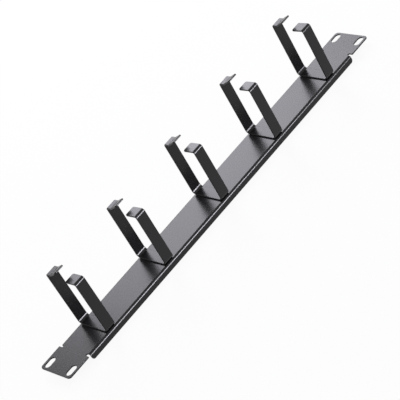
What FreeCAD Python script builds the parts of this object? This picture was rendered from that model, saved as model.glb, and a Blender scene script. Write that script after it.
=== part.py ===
"""Rack cable management panel: a folded 1U steel panel that carries five open cable rings.

Millimetres. +X runs along the panel, +Z out of its face, towards the rings. The origin is the
centre of the four mounting slots, on the back of the ears, where they meet the rack's rails.
"""
import FreeCAD, Part

import math
import os

# Panel blank and ears
PANEL_LENGTH = 482.6
EAR_HEIGHT = 43.7
EAR_LENGTH = 30.55
SHEET_THICKNESS = 1.5
EAR_CORNER_RADIUS = 3.5

# Folded long edges, which stand a step inside the ears' edges
FOLD_STEP = 0.35
FLANGE_DEPTH = 7.8
PANEL_BEND_RADIUS = 1.2
FLANGE_CORNER_RADIUS = 3.0

# Notches between the flanges and the ears
RELIEF_WIDTH = 2.6
RELIEF_PAST_BEND = 1.8

# Mounting slots, whose centres are 465.1 mm apart along the panel and 31.75 mm across it
SLOT_LENGTH = 12.7
SLOT_WIDTH = 7.2
SLOT_FROM_END = 8.75
SLOT_FROM_EDGE = 5.975

# Cable rings
RING_COUNT = 5
END_RING_FROM_EAR = 32.95
STRIP_WIDTH = 12.0
STRIP_THICKNESS = 1.6
RING_INSET = 0.3
NEAR_LEG_HEIGHT = 65.5
FAR_LEG_HEIGHT = 68.0
RING_FOOT_RADIUS = 3.4
RING_TOP_RADIUS = 1.2
NEAR_TAB_LENGTH = 16.0
NEAR_TAB_DIP = 4.0
FAR_TAB_LENGTH = 7.0
LIP_LENGTH = 13.0
LIP_ANGLE = 28.0
LIP_BEND_RADIUS = 2.0
TIP_CORNER_RADIUS = 2.0

# Sizes that follow from those above
BODY_LENGTH = PANEL_LENGTH - 2.0 * EAR_LENGTH
BODY_HEIGHT = EAR_HEIGHT - 2.0 * FOLD_STEP
RING_PITCH = (BODY_LENGTH - 2.0 * END_RING_FROM_EAR) / (RING_COUNT - 1)

PARTS_FOLDER = "parts"


def point(y, z):
    """A point of a section, which is drawn in the YZ plane."""
    return FreeCAD.Vector(0.0, y, z)


def bent_section(corners, inside_radii, thickness):
    """The cross-section of a sheet or strip bent along a line.

    corners are the corners of the middle line, drawn sharp, from one end to the other.
    inside_radii holds the inside radius of each bend, one for each corner between the ends.
    """
    half = thickness / 2.0
    left_side = []
    right_side = []
    start = corners[0]
    for i, inside_radius in enumerate(inside_radii):
        corner = corners[i + 1]
        along_in = (corner - corners[i]).normalize()
        along_out = (corners[i + 2] - corner).normalize()
        turn = math.atan2(
            along_in.y * along_out.z - along_in.z * along_out.y, along_in.dot(along_out)
        )
        radius = inside_radius + half
        setback = radius * math.tan(abs(turn) / 2.0)
        bend_start = corner - along_in * setback
        bend_end = corner + along_out * setback
        to_centre = left_of(along_in) * math.copysign(1.0, turn)
        centre = bend_start + to_centre * radius
        middle = centre + (corner - centre).normalize() * radius
        for side, offset in ((left_side, half), (right_side, -half)):
            side.append(offset_line(start, bend_start, offset))
            offset_radius = radius - offset * math.copysign(1.0, turn)
            arc = [
                centre + (along - centre).normalize() * offset_radius
                for along in (bend_start, middle, bend_end)
            ]
            side.append(Part.Arc(*arc).toShape())
        start = bend_end
    for side, offset in ((left_side, half), (right_side, -half)):
        side.append(offset_line(start, corners[-1], offset))
    caps = [
        Part.makeLine(left_side[0].Vertexes[0].Point, right_side[0].Vertexes[0].Point),
        Part.makeLine(left_side[-1].Vertexes[-1].Point, right_side[-1].Vertexes[-1].Point),
    ]
    edges = Part.sortEdges(left_side + right_side + caps)[0]
    return Part.Face(Part.Wire(edges))


def left_of(direction):
    """The direction a quarter turn to the left of another, in the YZ plane."""
    return point(-direction.z, direction.y)


def offset_line(start, end, offset):
    """A straight edge beside the line from start to end, offset to its left."""
    shift = left_of((end - start).normalize()) * offset
    return Part.makeLine(start + shift, end + shift)


def round_edges(solid, radius, wanted):
    """Rounds the edges of a solid for which wanted(edge) holds."""
    return solid.makeFillet(radius, [edge for edge in solid.Edges if wanted(edge)])


def obround(length, width, x, y):
    """A cutter for a slot along X, centred at x and y, through the sheet."""
    half_run = (length - width) / 2.0
    bottom = -SHEET_THICKNESS
    height = 3.0 * SHEET_THICKNESS
    ends = [
        Part.makeCylinder(width / 2.0, height, FreeCAD.Vector(x + run, y, bottom))
        for run in (-half_run, half_run)
    ]
    middle = Part.makeBox(
        2.0 * half_run, width, height, FreeCAD.Vector(x - half_run, y - width / 2.0, bottom)
    )
    return middle.fuse(ends)


def ear_plates():
    """The flat sheet of both ears, joined by the narrower web between the two folds."""
    sheet = Part.makeBox(
        PANEL_LENGTH,
        EAR_HEIGHT,
        SHEET_THICKNESS,
        FreeCAD.Vector(-PANEL_LENGTH / 2.0, -EAR_HEIGHT / 2.0, 0.0),
    )
    sheet = round_edges(sheet, EAR_CORNER_RADIUS, is_upright)
    web_half = BODY_HEIGHT / 2.0 - PANEL_BEND_RADIUS - SHEET_THICKNESS
    margin = EAR_HEIGHT / 2.0 - web_half + SHEET_THICKNESS
    for y in (web_half, -web_half - margin):
        corner = FreeCAD.Vector(-BODY_LENGTH / 2.0, y, -SHEET_THICKNESS)
        sheet = sheet.cut(Part.makeBox(BODY_LENGTH, margin, 3.0 * SHEET_THICKNESS, corner))
    return sheet


def is_upright(edge):
    """Whether an edge is straight and runs along Z."""
    return isinstance(edge.Curve, Part.Line) and abs(edge.Curve.Direction.z) > 0.999


def folded_body():
    """The web with both long edges folded back, as long as the flanges."""
    half = SHEET_THICKNESS / 2.0
    side = BODY_HEIGHT / 2.0 - half
    low = SHEET_THICKNESS - FLANGE_DEPTH
    corners = [point(-side, low), point(-side, half), point(side, half), point(side, low)]
    section = bent_section(corners, [PANEL_BEND_RADIUS] * 2, SHEET_THICKNESS)
    body = section.extrude(FreeCAD.Vector(BODY_LENGTH, 0.0, 0.0))
    body.translate(FreeCAD.Vector(-BODY_LENGTH / 2.0, 0.0, 0.0))

    def is_flange_corner(edge):
        box = edge.BoundBox
        return box.ZMax < low + 1e-6 and box.XLength < 1e-6

    return round_edges(body, FLANGE_CORNER_RADIUS, is_flange_corner)


def relief_cutters():
    """Round-ended notches that part each flange's ends from the ears."""
    half_width = RELIEF_WIDTH / 2.0
    depth = 3.0 * SHEET_THICKNESS
    bend_start = BODY_HEIGHT / 2.0 - PANEL_BEND_RADIUS - SHEET_THICKNESS
    end_y = bend_start - RELIEF_PAST_BEND + half_width
    reach = EAR_HEIGHT / 2.0 + SHEET_THICKNESS - end_y
    cutters = []
    for side_x in (-1.0, 1.0):
        x = side_x * (BODY_LENGTH / 2.0 + half_width)
        for side_y in (-1.0, 1.0):
            low_y = end_y if side_y > 0.0 else -end_y - reach
            corner = FreeCAD.Vector(x - half_width, low_y, -SHEET_THICKNESS)
            end = FreeCAD.Vector(x, side_y * end_y, -SHEET_THICKNESS)
            cutters.append(Part.makeBox(RELIEF_WIDTH, reach, depth, corner))
            cutters.append(Part.makeCylinder(half_width, depth, end))
    return cutters


def slot_cutters():
    """The four mounting slots."""
    x = PANEL_LENGTH / 2.0 - SLOT_FROM_END
    y = EAR_HEIGHT / 2.0 - SLOT_FROM_EDGE
    return [
        obround(SLOT_LENGTH, SLOT_WIDTH, side_x * x, side_y * y)
        for side_x in (-1.0, 1.0)
        for side_y in (-1.0, 1.0)
    ]


def panel():
    """The folded panel with its ears, slots and bend reliefs."""
    blank = ear_plates().fuse(folded_body()).removeSplitter()
    return blank.cut(relief_cutters() + slot_cutters())


def cable_ring(x):
    """One open ring bent from flat strip, standing on the panel's face and centred at x."""
    half = STRIP_THICKNESS / 2.0
    side = BODY_HEIGHT / 2.0 - RING_INSET - half
    foot = SHEET_THICKNESS + half
    near_top = SHEET_THICKNESS + NEAR_LEG_HEIGHT - half
    far_top = SHEET_THICKNESS + FAR_LEG_HEIGHT - half
    lip_run = LIP_LENGTH * math.cos(math.radians(LIP_ANGLE))
    lip_rise = LIP_LENGTH * math.sin(math.radians(LIP_ANGLE))
    near_tip = -side - half + NEAR_TAB_LENGTH
    near_dip = (NEAR_TAB_LENGTH - half) * math.tan(math.radians(NEAR_TAB_DIP))
    lip_start = side + half - FAR_TAB_LENGTH
    corners = [
        point(near_tip, near_top - near_dip),
        point(-side, near_top),
        point(-side, foot),
        point(side, foot),
        point(side, far_top),
        point(lip_start, far_top),
        point(lip_start - lip_run, far_top + lip_rise),
    ]
    radii = [RING_TOP_RADIUS, RING_FOOT_RADIUS, RING_FOOT_RADIUS, RING_TOP_RADIUS, LIP_BEND_RADIUS]
    section = bent_section(corners, radii, STRIP_THICKNESS)
    ring = section.extrude(FreeCAD.Vector(STRIP_WIDTH, 0.0, 0.0))
    ring.translate(FreeCAD.Vector(x - STRIP_WIDTH / 2.0, 0.0, 0.0))
    tips = (corners[0], corners[-1])

    def is_tip_corner(edge):
        centre = edge.CenterOfMass
        beside_tip = any(math.hypot(centre.y - tip.y, centre.z - tip.z) < half for tip in tips)
        return beside_tip and edge.BoundBox.XLength < 1e-6

    return round_edges(ring, TIP_CORNER_RADIUS, is_tip_corner)


def ring_places():
    """The rings' places along X, evenly spaced about the middle."""
    first = -RING_PITCH * (RING_COUNT - 1) / 2.0
    return [first + RING_PITCH * i for i in range(RING_COUNT)]


def main():
    """Builds every piece and writes one STEP file for each."""
    os.makedirs(PARTS_FOLDER, exist_ok=True)
    pieces = {"panel": panel()}
    for number, x in enumerate(ring_places(), start=1):
        pieces["cable_ring_%d" % number] = cable_ring(x)
    for name, solid in pieces.items():
        print(name, "valid", solid.isValid(), "solids", len(solid.Solids), "volume %.1f" % solid.Volume)
        solid.exportStep(os.path.join(PARTS_FOLDER, name + ".step"))


main()
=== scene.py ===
"""The looks of a rack cable management panel: a folded steel panel and its five open cable rings.

Metres, in the part's own frame: +X runs along the panel, +Z out of its face towards the rings, and
the origin is the centre of the mounting slots on the back of the ears. The panel and the rings are
cut and folded here from flat sheet, as the real ones are, at the places that the frame gives, and
they take the place of the frame's plain solids. One satin black powder coat covers them all.
"""

import logging
import math
from dataclasses import dataclass, field
from enum import Enum
from typing import Iterable, Sequence, Union

import bmesh
import bpy
from mathutils import Matrix, Quaternion, Vector


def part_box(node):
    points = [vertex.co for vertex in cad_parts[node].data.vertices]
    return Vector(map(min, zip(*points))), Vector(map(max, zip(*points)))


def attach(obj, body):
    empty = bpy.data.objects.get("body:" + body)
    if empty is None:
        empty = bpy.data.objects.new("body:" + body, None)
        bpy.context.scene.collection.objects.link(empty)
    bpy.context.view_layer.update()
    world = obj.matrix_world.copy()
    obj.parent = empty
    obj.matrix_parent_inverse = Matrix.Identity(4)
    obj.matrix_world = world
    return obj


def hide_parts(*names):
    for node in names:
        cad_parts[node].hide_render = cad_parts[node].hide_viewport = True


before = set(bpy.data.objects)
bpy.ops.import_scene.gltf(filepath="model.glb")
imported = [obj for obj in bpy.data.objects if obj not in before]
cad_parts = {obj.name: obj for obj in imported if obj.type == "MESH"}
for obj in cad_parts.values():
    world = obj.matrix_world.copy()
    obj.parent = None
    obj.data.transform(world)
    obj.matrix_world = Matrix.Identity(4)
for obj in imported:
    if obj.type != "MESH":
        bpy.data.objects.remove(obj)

LOG = logging.getLogger("cable_panel")
MM = 0.001
BODY = "root"
WHITE = (1.0, 1.0, 1.0, 1.0)

# Sockets that go by number, because their names repeat on their node
COLOUR_A, COLOUR_B, MIXED_COLOUR = 6, 7, 2
SHADER_A, SHADER_B = 1, 2

Number = Union["Signal", float, int]


class Signal:
    """A shader socket that takes part in arithmetic: each operator adds one Math node."""

    def __init__(self, graph: "ShaderGraph", socket: bpy.types.NodeSocket) -> None:
        """Wraps an output socket.

        Args:
            graph: The graph that the socket belongs to.
            socket: The output socket.
        """
        self.graph = graph
        self.socket = socket

    def _math(self, operation: str, first: Number, second: Number) -> "Signal":
        """Adds a Math node of one operation on two values."""
        return self.graph.node("ShaderNodeMath", {"operation": operation}, {0: first, 1: second})

    def __add__(self, other: Number) -> "Signal":
        """Adds another value to this one."""
        return self._math("ADD", self, other)

    def __radd__(self, other: Number) -> "Signal":
        """Adds this value to a number."""
        return self._math("ADD", other, self)

    def __sub__(self, other: Number) -> "Signal":
        """Takes another value from this one."""
        return self._math("SUBTRACT", self, other)

    def __rsub__(self, other: Number) -> "Signal":
        """Takes this value from a number."""
        return self._math("SUBTRACT", other, self)

    def __mul__(self, other: Number) -> "Signal":
        """Multiplies this value by another."""
        return self._math("MULTIPLY", self, other)

    def __rmul__(self, other: Number) -> "Signal":
        """Multiplies a number by this value."""
        return self._math("MULTIPLY", other, self)

    def either(self, other: "Signal") -> "Signal":
        """The larger of two masks."""
        return self._math("MAXIMUM", self, other)


class ShaderGraph:
    """The nodes of one material or world, made and linked from Python."""

    def __init__(self, tree: bpy.types.NodeTree) -> None:
        """Empties a node tree and takes it over.

        Args:
            tree: The node tree of a material or a world.
        """
        self.tree = tree
        tree.nodes.clear()

    def node(
        self,
        kind: str,
        settings: dict | None = None,
        inputs: dict | None = None,
        output: str | int = 0,
    ) -> Signal:
        """Adds a node.

        Args:
            kind: The node's type, such as ShaderNodeTexNoise.
            settings: Properties of the node, set before its sockets.
            inputs: Values or signals for its input sockets, by name or number.
            output: The output socket that is wanted, by name or number.

        Returns:
            The wanted output socket as a signal, or the first input of a node that has no output.
        """
        made = self.tree.nodes.new(kind)
        for name, value in (settings or {}).items():
            setattr(made, name, value)
        for name, value in (inputs or {}).items():
            if isinstance(value, Signal):
                self.tree.links.new(value.socket, made.inputs[name])
            else:
                made.inputs[name].default_value = value
        return Signal(self, made.outputs[output] if len(made.outputs) else made.inputs[0])

    def light_path(self, ray: str) -> Signal:
        """The Light Path mask of one kind of ray, such as Is Camera Ray."""
        return self.node("ShaderNodeLightPath", output=ray)

    def seen(self) -> Signal:
        """Finds the rays that show a background: straight, in gloss and through glass.

        Returns:
            A mask that is 1 for those rays.
        """
        camera = self.light_path("Is Camera Ray")
        glossy = self.light_path("Is Glossy Ray")
        return camera.either(glossy).either(self.light_path("Is Transmission Ray"))


@dataclass(frozen=True)
class PowderCoat:
    """Satin black powder coat: a dark resin film with orange peel and a fine grain.

    The cloud has cloud_share of the change in colour, and the grain has the rest.
    """

    colour: tuple[float, float, float] = (0.0115, 0.0112, 0.0124)
    pale_colour: tuple[float, float, float] = (0.0162, 0.0158, 0.0175)
    roughness: float = 0.27
    roughness_spread: float = 0.05
    specular_level: float = 0.21
    cloud_size: float = 45 * MM
    cloud_detail: float = 2.0
    cloud_share: float = 0.6
    peel_size: float = 2.6 * MM
    peel_detail: float = 1.0
    peel_depth: float = 0.009 * MM
    grain_size: float = 0.55 * MM
    grain_detail: float = 2.0
    grain_depth: float = 0.0045 * MM
    detail_strength: float = 0.5

    def material(self) -> bpy.types.Material:
        """Builds the finish.

        Returns:
            A material whose patterns follow object coordinates, in metres.
        """
        made = bpy.data.materials.new("satin_black_powder_coat")
        made.use_nodes = True
        graph = ShaderGraph(made.node_tree)
        place = graph.node("ShaderNodeTexCoord", output="Object")
        cloud = self._noise(graph, place, self.cloud_size, self.cloud_detail)
        peel = self._noise(graph, place, self.peel_size, self.peel_detail)
        grain = self._noise(graph, place, self.grain_size, self.grain_detail)
        shade = cloud * self.cloud_share + grain * (1.0 - self.cloud_share)
        colour = graph.node(
            "ShaderNodeMix",
            {"data_type": "RGBA"},
            {"Factor": shade, COLOUR_A: (*self.colour, 1.0), COLOUR_B: (*self.pale_colour, 1.0)},
            output=MIXED_COLOUR,
        )
        # Each noise averages a half, so their sum less 1 spreads the roughness both ways
        roughness = self.roughness + (cloud + grain - 1.0) * self.roughness_spread
        height = peel * self.peel_depth + grain * self.grain_depth
        normal = graph.node("ShaderNodeBump", {}, {"Strength": 1.0, "Distance": 1.0, "Height": height})
        surface = graph.node(
            "ShaderNodeBsdfPrincipled",
            {},
            {
                "Base Color": colour,
                "Roughness": roughness,
                "Specular IOR Level": self.specular_level,
                "Normal": normal,
            },
        )
        graph.node("ShaderNodeOutputMaterial", {}, {"Surface": surface})
        return made

    def _noise(self, graph: ShaderGraph, place: Signal, size: float, detail: float) -> Signal:
        """Adds noise from 0 to 1.

        Args:
            graph: The graph that the noise is for.
            place: Object coordinates.
            size: About how large its features are.
            detail: How many finer layers it has.

        Returns:
            The noise.
        """
        inputs = {
            "Vector": place,
            "Scale": 1.0 / size,
            "Detail": detail,
            "Roughness": self.detail_strength,
        }
        return graph.node("ShaderNodeTexNoise", {"noise_dimensions": "3D"}, inputs)


@dataclass(frozen=True)
class PaleFloor:
    """A matt white floor that shows as white, with the object's shadow left on it."""

    colour: tuple[float, float, float] = (0.90, 0.90, 0.90)
    lift: float = 0.92

    def material(self) -> bpy.types.Material:
        """Builds the finish.

        Returns:
            A diffuse material that the rays that see it find lifted towards white.
        """
        made = bpy.data.materials.new("pale_floor")
        made.use_nodes = True
        graph = ShaderGraph(made.node_tree)
        matt = graph.node("ShaderNodeBsdfDiffuse", {}, {"Color": (*self.colour, 1.0)})
        white = graph.node("ShaderNodeEmission", {}, {"Color": WHITE, "Strength": 1.0})
        mix = {"Fac": graph.seen() * self.lift, SHADER_A: matt, SHADER_B: white}
        surface = graph.node("ShaderNodeMixShader", {}, mix)
        graph.node("ShaderNodeOutputMaterial", {}, {"Surface": surface})
        return made


class Rounding(Enum):
    """What a bevel rounds: a sheet's folds or its outline's corners."""

    FOLDS = "EDGES"
    CORNERS = "VERTICES"


class SheetMetal:
    """A sheet-metal piece, drawn as the middle surface of its sheet and folded with bmesh operators."""

    MERGE = 0.001 * MM
    FLAT_ANGLE = math.radians(0.5)
    CUT_EDGE_ANGLE = math.radians(50.0)
    CUT_EDGE_STEPS = 3
    LARGE_FACE_WEIGHT = 100

    def __init__(self) -> None:
        """Starts with an empty mesh."""
        self.bm = bmesh.new()

    def trace(self, corners: Sequence[Vector], closed: bool = False) -> list[bmesh.types.BMEdge]:
        """Draws an outline or a section as straight lines.

        Args:
            corners: Its corners, in order and sharp.
            closed: Whether the last corner joins the first.

        Returns:
            Its edges, in order.
        """
        verts = [self.bm.verts.new(corner) for corner in corners]
        ends = verts[1:] + verts[:1] if closed else verts[1:]
        return [self.bm.edges.new(pair) for pair in zip(verts, ends)]

    def verts_at(self, places: Iterable[Vector]) -> list[bmesh.types.BMVert]:
        """The vertices that lie at any of some places."""
        places = list(places)
        return [v for v in self.bm.verts if any((v.co - p).length < self.MERGE for p in places)]

    def round_off(
        self,
        what: Rounding,
        geometry: Sequence[bmesh.types.BMVert | bmesh.types.BMEdge],
        reach: float,
        steps: int,
    ) -> None:
        """Rounds folds or corners.

        Args:
            what: Whether the geometry is folds or corners.
            geometry: The edges of the folds, or the corners' vertices.
            reach: How far from the fold or corner the rounding starts.
            steps: Into how many straight steps each arc is divided.
        """
        bmesh.ops.bevel(
            self.bm,
            geom=list(geometry),
            offset=reach,
            offset_type="OFFSET",
            segments=steps,
            profile=0.5,
            affect=what.value,
            clamp_overlap=False,
            material=-1,
        )
        bmesh.ops.remove_doubles(self.bm, verts=self.bm.verts[:], dist=self.MERGE)

    def sweep(self, edges: Sequence[bmesh.types.BMEdge], move: Vector) -> None:
        """Draws edges out into flat walls.

        Args:
            edges: The edges to draw out.
            move: How far and which way they go.
        """
        drawn = bmesh.ops.extrude_edge_only(self.bm, edges=list(edges))["geom"]
        verts = [item for item in drawn if isinstance(item, bmesh.types.BMVert)]
        bmesh.ops.translate(self.bm, verts=verts, vec=move)

    def fill(self) -> None:
        """Fills the flat outlines that are drawn so far, with the inner ones left as holes."""
        bmesh.ops.remove_doubles(self.bm, verts=self.bm.verts[:], dist=self.MERGE)
        bmesh.ops.triangle_fill(self.bm, edges=self.bm.edges[:], use_beauty=True)

    def cover(self, corners: Sequence[Vector]) -> None:
        """Lays one flat face between corners, joined to what it touches."""
        bmesh.ops.contextual_create(self.bm, geom=self.trace(corners, closed=True))
        bmesh.ops.remove_doubles(self.bm, verts=self.bm.verts[:], dist=self.MERGE)

    def mirror_across(self, axis: str) -> None:
        """Adds the mirror image across the plane that faces along an axis, X or Y."""
        geometry = self.bm.verts[:] + self.bm.edges[:] + self.bm.faces[:]
        bmesh.ops.mirror(
            self.bm,
            geom=geometry,
            matrix=Matrix.Identity(4),
            merge_dist=self.MERGE,
            axis=axis,
        )

    def finish(
        self,
        name: str,
        thickness: float,
        edge_radius: float,
        coat: bpy.types.Material,
    ) -> bpy.types.Object:
        """Gives the sheet its thickness and its softened edges, and makes it an object.

        Args:
            name: The piece's name.
            thickness: The sheet's thickness.
            edge_radius: The radius that the coat gives the sheet's cut edges.
            coat: The piece's finish.

        Returns:
            The piece, at the origin, with its place in its mesh.
        """
        bmesh.ops.remove_doubles(self.bm, verts=self.bm.verts[:], dist=self.MERGE)
        bmesh.ops.dissolve_limit(
            self.bm, angle_limit=self.FLAT_ANGLE, verts=self.bm.verts[:], edges=self.bm.edges[:]
        )
        bmesh.ops.recalc_face_normals(self.bm, faces=self.bm.faces[:])
        for face in self.bm.faces:
            face.smooth = True
        mesh = bpy.data.meshes.new(name)
        self.bm.to_mesh(mesh)
        self.bm.free()
        mesh.materials.append(coat)
        piece = bpy.data.objects.new(name, mesh)
        bpy.context.scene.collection.objects.link(piece)
        wall = piece.modifiers.new("sheet", "SOLIDIFY")
        wall.thickness = thickness
        wall.offset = 0.0
        wall.use_even_offset = True
        edges = piece.modifiers.new("coated_edges", "BEVEL")
        edges.width = edge_radius
        edges.segments = self.CUT_EDGE_STEPS
        edges.limit_method = "ANGLE"
        edges.angle_limit = self.CUT_EDGE_ANGLE
        edges.loop_slide = False
        shading = piece.modifiers.new("even_shading", "WEIGHTED_NORMAL")
        shading.mode = "FACE_AREA"
        shading.weight = self.LARGE_FACE_WEIGHT
        return piece


@dataclass
class FoldedPanel:
    """The panel: a flat face between two ears, with both long edges folded back as flanges."""

    node: str = "panel"
    name: str = "folded_panel"
    sheet: float = 1.5 * MM
    edge_radius: float = 0.25 * MM
    ear_length: float = 30.55 * MM
    ear_corner: float = 3.5 * MM
    fold_step: float = 0.35 * MM
    fold_inside_radius: float = 1.2 * MM
    flange_corner: float = 3.0 * MM
    relief_width: float = 2.6 * MM
    relief_past_bend: float = 1.8 * MM
    slot_length: float = 12.7 * MM
    slot_width: float = 7.2 * MM
    slot_from_end: float = 8.75 * MM
    slot_from_edge: float = 5.975 * MM
    fold_steps: int = 10
    corner_steps: int = 10

    def __post_init__(self) -> None:
        """Takes the outer sizes from the frame."""
        self.low, self.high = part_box(self.node)
        self.middle = self.high.z - self.sheet / 2.0
        self.body_end = self.high.x - self.ear_length
        self.fold_y = self.high.y - self.fold_step - self.sheet / 2.0

    def build(self, coat: bpy.types.Material) -> bpy.types.Object:
        """Folds the panel, as one quarter that is mirrored twice.

        Args:
            coat: The panel's finish.

        Returns:
            The piece.
        """
        metal = SheetMetal()
        self._cut_blank(metal)
        self._fold_flange(metal)
        metal.mirror_across("X")
        metal.mirror_across("Y")
        piece = metal.finish(self.name, self.sheet, self.edge_radius, coat)
        length = (self.high.x - self.low.x) / MM
        LOG.info("%s: %.1f mm long, four slots, four bend reliefs", self.name, length)
        return piece

    def _flat(self, x: float, y: float) -> Vector:
        """A point of the flat blank."""
        return Vector((x, y, self.middle))

    def _cut_blank(self, metal: SheetMetal) -> None:
        """Cuts a quarter of the flat blank, with its slot, its bend relief and its ear's corner.

        Args:
            metal: The piece that the blank is for.
        """
        relief_radius = self.relief_width / 2.0
        bend_start = self.fold_y - self.sheet / 2.0 - self.fold_inside_radius
        relief_end = bend_start - self.relief_past_bend
        relief = [self._flat(self.body_end + x, relief_end) for x in (0.0, self.relief_width)]
        ear_corner = self._flat(self.high.x, self.high.y)
        joint = [self._flat(self.body_end, y) for y in (0.0, relief_end + relief_radius)]
        # The line starts beyond the relief's corner, because its own end vertex can't be rounded
        spare_end = self._flat(self.body_end, self.fold_y)
        metal.trace(
            [
                spare_end,
                *relief,
                self._flat(relief[1].x, self.high.y),
                ear_corner,
                self._flat(self.high.x, 0.0),
                joint[0],
            ]
        )
        slot_x = self.high.x - self.slot_from_end
        slot_y = self.high.y - self.slot_from_edge
        half_length = self.slot_length / 2.0
        half_width = self.slot_width / 2.0
        slot = [
            self._flat(slot_x + x * half_length, slot_y + y * half_width)
            for x, y in ((-1, -1), (1, -1), (1, 1), (-1, 1))
        ]
        metal.trace(slot, closed=True)
        rounded = (
            (relief, relief_radius),
            ([ear_corner], self.ear_corner),
            (slot, half_width),
        )
        for corners, radius in rounded:
            metal.round_off(Rounding.CORNERS, metal.verts_at(corners), radius, self.corner_steps)
        for vert in metal.verts_at([spare_end]):
            metal.bm.verts.remove(vert)
        metal.trace(joint)
        metal.fill()
        web = [self._flat(0.0, y) for y in (0.0, self.fold_y)]
        metal.cover([*web, self._flat(self.body_end, self.fold_y), joint[1], joint[0]])

    def _fold_flange(self, metal: SheetMetal) -> None:
        """Folds the quarter's share of the flange down from the blank's long edge.

        Args:
            metal: The piece that holds the blank.
        """
        ends = [self._flat(x, self.fold_y) for x in (0.0, self.body_end)]
        fold = self._edges_between(metal, ends)
        drop = Vector((0.0, 0.0, self.low.z - self.middle))
        metal.sweep(fold, drop)
        fold = self._edges_between(metal, ends)
        radius = self.fold_inside_radius + self.sheet / 2.0
        metal.round_off(Rounding.FOLDS, fold, radius, self.fold_steps)
        corner = metal.verts_at([ends[1] + drop])
        metal.round_off(Rounding.CORNERS, corner, self.flange_corner, self.corner_steps)

    @staticmethod
    def _edges_between(metal: SheetMetal, ends: Sequence[Vector]) -> list[bmesh.types.BMEdge]:
        """The edges whose ends both lie at given places."""
        found = set(metal.verts_at(ends))
        return [edge for edge in metal.bm.edges if set(edge.verts) <= found]


@dataclass
class CableRing:
    """One open ring, bent from flat strip: base, two legs, a tab and a turned-up lip."""

    node: str
    name: str
    strip: float = 1.6 * MM
    edge_radius: float = 0.45 * MM
    near_leg: float = 65.5 * MM
    far_leg: float = 68.0 * MM
    foot_inside_radius: float = 3.4 * MM
    top_inside_radius: float = 1.2 * MM
    near_tab: float = 16.0 * MM
    near_tab_dip: float = math.radians(4.0)
    far_tab: float = 7.0 * MM
    lip: float = 13.0 * MM
    lip_angle: float = math.radians(28.0)
    lip_inside_radius: float = 2.0 * MM
    tip_corner: float = 2.0 * MM
    fold_steps: int = 10
    corner_steps: int = 8

    def __post_init__(self) -> None:
        """Takes the ring's place and width from the frame."""
        self.low, self.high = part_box(self.node)

    def build(self, coat: bpy.types.Material) -> bpy.types.Object:
        """Bends the ring along the middle line of its strip.

        Args:
            coat: The ring's finish.

        Returns:
            The piece.
        """
        metal = SheetMetal()
        line = self._middle_line()
        width = Vector((self.high.x - self.low.x, 0.0, 0.0))
        metal.sweep(metal.trace(line), width)
        for corner, before, after, radius in zip(line[1:], line, line[2:], self._fold_radii()):
            turn = (corner - before).angle(after - corner)
            fold = [edge for edge in metal.bm.edges if self._crosses(edge, corner)]
            metal.round_off(Rounding.FOLDS, fold, radius * math.tan(turn / 2.0), self.fold_steps)
        tips = [tip + side for tip in (line[0], line[-1]) for side in (Vector(), width)]
        metal.round_off(Rounding.CORNERS, metal.verts_at(tips), self.tip_corner, self.corner_steps)
        piece = metal.finish(self.name, self.strip, self.edge_radius, coat)
        place = (self.low.x + self.high.x) / 2.0 / MM
        LOG.info("%s: stands at %.1f mm along the panel", self.name, place)
        return piece

    def _middle_line(self) -> list[Vector]:
        """Draws the strip's middle line, with its folds still sharp.

        Returns:
            The line's corners, from the near tab's tip to the lip's tip.
        """
        half = self.strip / 2.0
        side = self.high.y - half
        foot = self.low.z + half
        near_top = self.low.z + self.near_leg - half
        far_top = self.low.z + self.far_leg - half
        near_tip = -self.high.y + self.near_tab
        near_dip = (self.near_tab - half) * math.tan(self.near_tab_dip)
        lip_start = self.high.y - self.far_tab
        lip_run = self.lip * math.cos(self.lip_angle)
        lip_rise = self.lip * math.sin(self.lip_angle)
        places = [
            (near_tip, near_top - near_dip),
            (-side, near_top),
            (-side, foot),
            (side, foot),
            (side, far_top),
            (lip_start, far_top),
            (lip_start - lip_run, far_top + lip_rise),
        ]
        return [Vector((self.low.x, y, z)) for y, z in places]

    def _fold_radii(self) -> list[float]:
        """The middle radius of each fold, in the middle line's order."""
        inside = [
            self.top_inside_radius,
            self.foot_inside_radius,
            self.foot_inside_radius,
            self.top_inside_radius,
            self.lip_inside_radius,
        ]
        return [radius + self.strip / 2.0 for radius in inside]

    @staticmethod
    def _crosses(edge: bmesh.types.BMEdge, corner: Vector) -> bool:
        """Whether an edge runs across the strip at a corner of its middle line."""
        return all((vert.co - corner).yz.length < SheetMetal.MERGE for vert in edge.verts)


@dataclass(frozen=True)
class Softbox:
    """A rectangular lamp with a diffusing front, aimed at the object.

    One that is not lights_matt shows in the gloss alone, and leaves the plain light as it is.
    """

    name: str
    azimuth: float
    elevation: float
    distance: float
    width: float
    height: float
    radiance: float
    tint: tuple[float, float, float] = (0.93, 0.915, 1.0)
    roll: float = 0.0
    lights_matt: bool = True

    def build(self) -> bpy.types.Object:
        """Places the lamp.

        Returns:
            The lamp.
        """
        lamp = bpy.data.lights.new(self.name, "AREA")
        lamp.shape = "RECTANGLE"
        lamp.size = self.width
        lamp.size_y = self.height
        lamp.energy = self.radiance * math.pi * self.width * self.height
        lamp.color = self.tint
        made = bpy.data.objects.new(self.name, lamp)
        made.visible_diffuse = self.lights_matt
        bpy.context.scene.collection.objects.link(made)
        away = direction(self.azimuth, self.elevation)
        made.location = away * self.distance
        made.rotation_mode = "QUATERNION"
        turn = Quaternion((0.0, 0.0, 1.0), math.radians(self.roll))
        made.rotation_quaternion = away.to_track_quat("Z", "Y") @ turn
        return made


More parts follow.
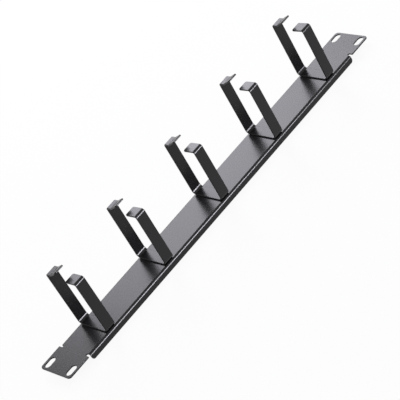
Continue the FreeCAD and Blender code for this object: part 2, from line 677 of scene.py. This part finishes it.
def direction(azimuth: float, elevation: float) -> Vector:
    """The way from the object to a viewer or a lamp.

    Args:
        azimuth: In degrees, 0 in front of the panel's lower edge and growing towards +X.
        elevation: In degrees above the panel's face.

    Returns:
        A unit vector.
    """
    turn, rise = math.radians(azimuth), math.radians(elevation)
    return Vector(
        (math.sin(turn) * math.cos(rise), -math.cos(turn) * math.cos(rise), math.sin(rise))
    )


@dataclass
class Studio:
    """The plain stage: a pale floor, soft lamps, an even surround and the camera."""

    floor: PaleFloor = field(default_factory=PaleFloor)
    floor_size: float = 12.0
    floor_gap: float = 0.1 * MM
    view_reach: float = 24.0
    surround: float = 0.65
    azimuth: float = -29.54
    elevation: float = 33.94
    roll: float = -31.13
    distance: float = 1.7013
    aim: tuple[float, float, float] = (-0.0095, 0.00963, 0.0)
    lens: float = 156.37
    softboxes: tuple[Softbox, ...] = (
        Softbox(
            name="back_softbox",
            azimuth=148.0,
            elevation=31.8,
            distance=1.821,
            width=0.85,
            height=1.05,
            radiance=7.4,
            roll=41.0,
        ),
        Softbox(
            name="front_softbox",
            azimuth=21.0,
            elevation=6.5,
            distance=4.2,
            width=1.25,
            height=0.75,
            radiance=135.0,
            lights_matt=False,
        ),
    )

    def build(self) -> None:
        """Sets up the whole stage."""
        self._lay_floor()
        self._set_surround()
        for softbox in self.softboxes:
            softbox.build()
        self._place_camera()
        bpy.context.scene.view_settings.view_transform = "Standard"

    def _lay_floor(self) -> None:
        """Lays the floor just under the flanges' edges, so that no two faces share a plane."""
        low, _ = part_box("panel")
        bm = bmesh.new()
        bmesh.ops.create_grid(bm, x_segments=1, y_segments=1, size=self.floor_size / 2.0)
        bmesh.ops.translate(bm, verts=bm.verts[:], vec=Vector((0.0, 0.0, low.z - self.floor_gap)))
        mesh = bpy.data.meshes.new("floor")
        bm.to_mesh(mesh)
        bm.free()
        mesh.materials.append(self.floor.material())
        floor = bpy.data.objects.new("floor", mesh)
        bpy.context.scene.collection.objects.link(floor)

    def _set_surround(self) -> None:
        """Lights the object evenly from all round, and shows white where the surround is seen."""
        world = bpy.data.worlds.new("surround")
        bpy.context.scene.world = world
        world.use_nodes = True
        graph = ShaderGraph(world.node_tree)
        strength = self.surround + graph.seen() * (1.0 - self.surround)
        light = graph.node("ShaderNodeBackground", {}, {"Color": WHITE, "Strength": strength})
        graph.node("ShaderNodeOutputWorld", {}, {"Surface": light})

    def _place_camera(self) -> None:
        """Places the camera at the photograph's viewing angle."""
        data = bpy.data.cameras.new("camera")
        data.lens = self.lens
        data.clip_end = self.view_reach
        camera = bpy.data.objects.new("camera", data)
        bpy.context.scene.collection.objects.link(camera)
        back = direction(self.azimuth, self.elevation)
        level = Vector((0.0, 0.0, 1.0)).cross(back).normalized()
        right = Matrix.Rotation(math.radians(self.roll), 3, back) @ level
        turn = Matrix((right, back.cross(right), back)).transposed()
        camera.matrix_world = Matrix.Translation(Vector(self.aim) + back * self.distance) @ turn.to_4x4()
        bpy.context.scene.camera = camera


def main() -> None:
    """Builds the panel, its rings and the stage."""
    logging.basicConfig(level=logging.INFO, format="%(name)s: %(message)s")
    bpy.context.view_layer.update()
    coat = PowderCoat().material()
    sub_assemblies: list[FoldedPanel | CableRing] = [FoldedPanel()]
    ring_nodes = sorted(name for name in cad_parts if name.startswith("cable_ring_"))
    for number, node in enumerate(ring_nodes, start=1):
        sub_assemblies.append(CableRing(node, f"bent_ring_{number}"))
    for sub_assembly in sub_assemblies:
        piece = sub_assembly.build(coat)
        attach(piece, BODY)
        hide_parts(sub_assembly.node)
    Studio().build()


if __name__ == "__main__":
    main()
